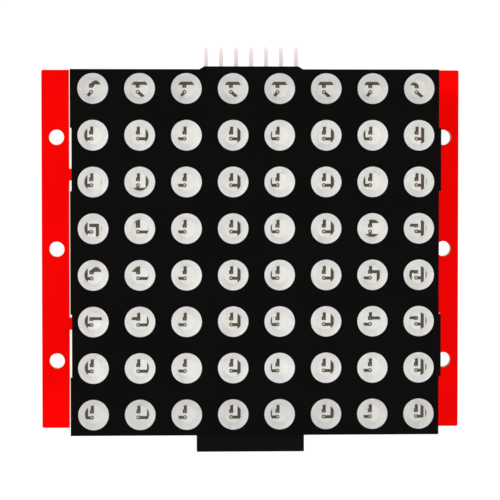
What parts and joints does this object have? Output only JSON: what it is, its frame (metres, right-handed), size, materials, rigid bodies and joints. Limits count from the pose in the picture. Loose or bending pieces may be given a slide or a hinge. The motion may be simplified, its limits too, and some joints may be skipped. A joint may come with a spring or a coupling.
{
  "type": "led dot matrix",
  "caption": "Square dot matrix display with round light cups, plugged onto a driver board that has a pin header and a socket at opposite edges so that modules chain.",
  "frame": {"origin": "centre of the mounting-hole pattern on the back face of the driver board", "axes": "+Z is the way the dots face, +Y points to the pin header at the board's top edge, +X is to the right as the dots are read"},
  "size_m": [0.0712, 0.0687, 0.0196],
  "materials": {
    "housing_white": "moulded white plastic, lightly textured",
    "mask_black": "matt black printed layer",
    "clear_epoxy": "clear cast epoxy, polished",
    "chip_board_white": "white solder mask",
    "dull_copper": "dull coated copper",
    "led_die": "sawn semiconductor",
    "potting_resin": "cast resin, smooth",
    "tinned_pin": "tinned",
    "header_pin": "tinned, slightly dull",
    "board_red": "red solder mask on glass-epoxy board",
    "connector_black": "black glass-filled moulding",
    "contact_metal": "thinly gilded",
    "chip_black": "black moulding compound",
    "resistor_dark": "dark glazed top",
    "capacitor_tan": "fired ceramic",
    "can_aluminium": "drawn can, satin",
    "solder": "bright solder"
  },
  "bodies": {
    "root": {"display_housing": "housing_white", "face_mask": "mask_black", "light_fill": "clear_epoxy", "chip_board": "chip_board_white", "row_copper": "dull_copper", "column_copper": "dull_copper", "led_dies": "led_die", "potting_fill": "potting_resin", "upper_display_pins": "tinned_pin", "lower_display_pins": "tinned_pin", "driver_board": "board_red", "upper_strip_socket": "connector_black", "lower_strip_socket": "connector_black", "upper_socket_contacts": "contact_metal", "lower_socket_contacts": "contact_metal", "inlet_header_block": "connector_black", "inlet_pin_1": "header_pin", "inlet_pin_2": "header_pin", "inlet_pin_3": "header_pin", "inlet_pin_4": "header_pin", "inlet_pin_5": "header_pin", "inlet_pin_6": "header_pin", "inlet_pin_7": "header_pin", "outlet_socket_body": "connector_black", "outlet_contact_1": "contact_metal", "outlet_contact_2": "contact_metal", "outlet_contact_3": "contact_metal", "outlet_contact_4": "contact_metal", "outlet_contact_5": "contact_metal", "outlet_contact_6": "contact_metal", "outlet_contact_7": "contact_metal", "driver_chip_body": "chip_black", "driver_chip_leads": "tinned_pin", "current_set_resistor": "resistor_dark", "bypass_capacitor": "capacitor_tan", "bulk_capacitor_base": "connector_black", "bulk_capacitor_can": "can_aluminium", "bulk_capacitor_leads": "tinned_pin", "display_solder_joints": "solder", "inlet_solder_joints": "solder", "outlet_solder_joints": "solder"}
  },
  "joints": []
}
